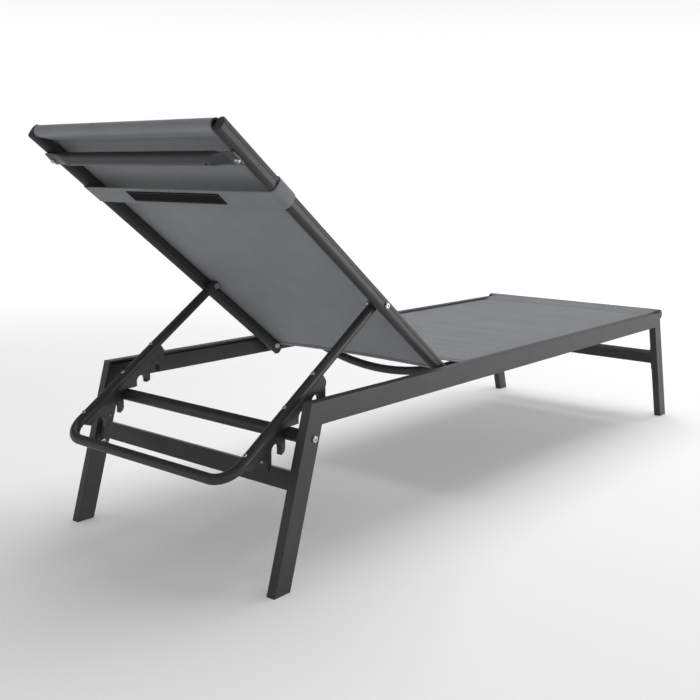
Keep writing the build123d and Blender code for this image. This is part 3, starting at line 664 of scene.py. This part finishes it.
# ---------------------------------------------------------------------------
# Stitches and welds: both are a row of small beads along a line, one of thread
# pulled into the cloth, the other of metal laid down by the welder and coated
# with the frame. One tree lays either along its lines.
beads = bpy.data.node_groups.new("beads_along_a_line", "GeometryNodeTree")
beads.interface.new_socket("Geometry", in_out="OUTPUT", socket_type="NodeSocketGeometry")
bead_inputs = {}
for label, kind in (("Geometry", "NodeSocketGeometry"), ("Pitch", "NodeSocketFloat"),
                    ("Thickness", "NodeSocketFloat"), ("Length", "NodeSocketFloat"),
                    ("Material", "NodeSocketMaterial")):
    bead_inputs[label] = beads.interface.new_socket(label, in_out="INPUT", socket_type=kind).identifier
given = add(beads, "NodeGroupInput").outputs
lines = add(beads, "GeometryNodeMeshToCurve", inputs={"Mesh": given["Geometry"]})
spaced = add(beads, "GeometryNodeResampleCurve", {"mode": "LENGTH"}, {
    "Curve": lines.outputs[0], "Length": given["Pitch"]})
heading = add(beads, "FunctionNodeAlignRotationToVector", {"axis": "Z"}, {
    "Vector": add(beads, "GeometryNodeInputTangent").outputs[0]})
size = add(beads, "ShaderNodeCombineXYZ", inputs={
    "X": given["Thickness"], "Y": given["Thickness"], "Z": given["Length"]})
bead = add(beads, "GeometryNodeMeshUVSphere", inputs={"Segments": 8, "Rings": 6, "Radius": 0.5})
laid = add(beads, "GeometryNodeInstanceOnPoints", inputs={
    "Points": spaced.outputs[0], "Instance": bead.outputs["Mesh"],
    "Rotation": heading.outputs[0], "Scale": size.outputs[0]})
real = add(beads, "GeometryNodeRealizeInstances", inputs={"Geometry": laid.outputs[0]})
shaded = add(beads, "GeometryNodeSetShadeSmooth", inputs={"Geometry": real.outputs[0]})
painted = add(beads, "GeometryNodeSetMaterial", inputs={
    "Geometry": shaded.outputs[0], "Material": given["Material"]})
add(beads, "NodeGroupOutput", inputs={"Geometry": painted.outputs[0]})


def bead_rows(name, routes, pitch, thickness, length, material, body):
    points = []
    edges = []
    for route in routes:
        first = len(points)
        points += [tuple(point) for point in route]
        edges += [(first + i, first + i + 1) for i in range(len(route) - 1)]
    mesh = bpy.data.meshes.new(name)
    mesh.from_pydata(points, edges, [])
    piece = put_in_scene(name, mesh)
    laying = piece.modifiers.new("beads", "NODES")
    laying.node_group = beads
    for label, value in (("Pitch", pitch), ("Thickness", thickness), ("Length", length),
                         ("Material", material)):
        laying[bead_inputs[label]] = value
    piece = applied(piece)
    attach(piece, body)
    return piece


thread, thread_tree = new_material("bonded_polyester_thread")
finish_material(thread_tree, add(thread_tree, "ShaderNodeBsdfPrincipled", inputs={
    "Base Color": linear("#4A4C4E"), "Roughness": 0.6, "Sheen Weight": 0.2}))
stitch_pitch, stitch_thick, stitch_length = 5 * mm, 0.9 * mm, 3.8 * mm
skin_gap = cloth / 2 + 0.1 * mm


# The row of the seat cloth nearest to x, on its upper face and clear of the turned-under hem.
def seat_row(x, over):
    past_hem = hem_depth + 3 * mm
    near = min(range(len(seat_line)),
               key=lambda i: abs(seat_line[i].x - x) + (seat_lengths[i] < past_hem))
    return [Vector(point) + Vector((x - seat_line[near].x, 0, over)) for point in seat_rows[near][2:-2]]


seat_seams = [seat_row(seat_start + 20 * mm, skin_gap), seat_row(seat_start + 15 * mm, skin_gap),
              seat_row(seat_split - 2 * mm, skin_gap)]
bead_rows("seat_stitching", seat_seams, stitch_pitch, stitch_thick, stitch_length, thread,
          "base")


def back_seam(along, out):
    reach = top_half - 2 * mm
    sides = [2 * j / 40 - 1 for j in range(41)]
    return [on_back(along + hem_dip(along, side), side * reach, out) for side in sides]


back_seams = []
for out in (back_level + skin_gap, back_level - skin_gap):
    back_seams.append(back_seam(back_split - 4 * mm, out))
    back_seams.append(back_seam(back_split - 8 * mm, out))
for out in (back_level + skin_gap, back_level - skin_gap - 1.12 * cloth):
    back_seams.append(back_seam(back_start + 8 * mm, out))
bead_rows("back_stitching", back_seams, stitch_pitch, stitch_thick, stitch_length, thread,
          "back")

patch_inset = 2.5 * mm
patch_out = patch_face - 0.35 * mm
corners = [(strap_middle + a * (patch_width / 2 - patch_inset), y) for a, y in
           ((-1, patch_low + patch_inset), (1, patch_low + patch_inset),
            (1, patch_high - patch_inset), (-1, patch_high - patch_inset),
            (-1, patch_low + patch_inset))]
strap_seams = [[on_back(along, y, patch_out) for along, y in corners]]
bead_rows("strap_stitching", strap_seams, stitch_pitch, stitch_thick, stitch_length, thread,
          "headrest")


def ring(centre, radius, side):
    steps = 48
    return [centre + Vector((radius * cos(2 * pi * i / steps), side, radius * sin(2 * pi * i / steps)))
            for i in range(steps + 1)]


bow_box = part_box("curved_crossbar")
bow_middle = Vector(((bow_box[0][0] + bow_box[1][0]) / 2, 0, bow_box[1][2] - 10 * mm))
weld_radius = 10.3 * mm
weld_pitch = 2.2 * mm
top_weld = 243.2 * mm                # sideways, at the inner faces of the back rails
base_welds = [ring(bow_middle, weld_radius, side * (bow_box[1][1] - 1 * mm)) for side in (1, -1)]
bead_rows("base_welds", base_welds, weld_pitch, 3.2 * mm, 3.4 * mm, grey_coat, "base")
top_middle = on_back(top_centre[0], 0, top_centre[1])
back_welds = [ring(top_middle, weld_radius, side * top_weld) for side in (1, -1)]
bead_rows("back_welds", back_welds, weld_pitch, 2.4 * mm, 3.2 * mm, grey_coat, "back")
